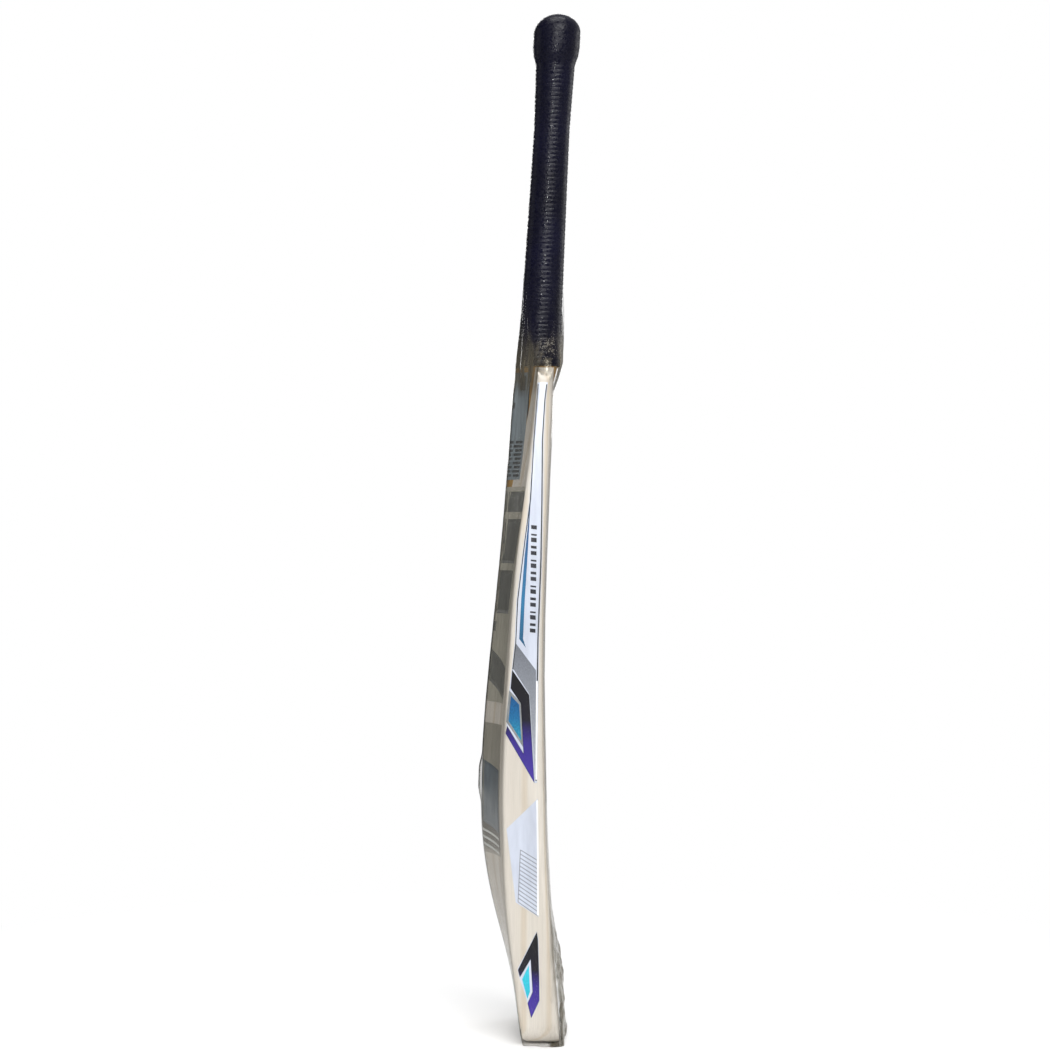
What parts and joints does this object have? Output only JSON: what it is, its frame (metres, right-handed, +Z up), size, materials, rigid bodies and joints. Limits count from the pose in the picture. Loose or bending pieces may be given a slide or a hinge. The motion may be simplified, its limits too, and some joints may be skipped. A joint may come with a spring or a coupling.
{
  "type": "cricket bat",
  "caption": "Short-handle cricket bat: willow blade, spliced cane handle with dark ribbed rubber grip, printed edge and back stickers, in a clear packing sleeve.",
  "frame": {"origin": "centre of the whole bat's outline on the plane of the toe, with the bat standing on its toe", "axes": "+Z up the bat from toe to knob, -Y out of the hitting face, +Y out of the spine, X across the blade"},
  "size_m": [0.1098, 0.0854, 0.86],
  "materials": {
    "willow": "sanded, clear",
    "cane": "oiled",
    "spring_rubber": "matte",
    "waxed_twine": "glued twine",
    "grip_rubber": "pebbled, slightly glossy",
    "edge_print": "gloss printed vinyl",
    "label_print": "gloss printed vinyl",
    "back_print": "gloss printed vinyl",
    "clear_film": "clear polythene"
  },
  "bodies": {
    "root": {"blade": "willow", "cane_slip_front_left": "cane", "cane_slip_front_centre": "cane", "cane_slip_front_right": "cane", "cane_slip_mid_front_left": "cane", "cane_slip_mid_front_centre": "cane", "cane_slip_mid_front_right": "cane", "cane_slip_mid_back_left": "cane", "cane_slip_mid_back_centre": "cane", "cane_slip_mid_back_right": "cane", "cane_slip_back_left": "cane", "cane_slip_back_centre": "cane", "cane_slip_back_right": "cane", "rubber_spring_front": "spring_rubber", "rubber_spring_middle": "spring_rubber", "rubber_spring_back": "spring_rubber", "twine_binding": "waxed_twine", "rubber_grip": "grip_rubber", "edge_sticker_upper_left": "edge_print", "edge_sticker_upper_right": "edge_print", "edge_sticker_middle_left": "edge_print", "edge_sticker_middle_right": "edge_print", "edge_sticker_toe_left": "edge_print", "edge_sticker_toe_right": "edge_print", "back_label": "label_print", "back_upper_sticker": "back_print", "back_lower_sticker": "back_print", "film_sleeve": "clear_film"}
  },
  "joints": []
}
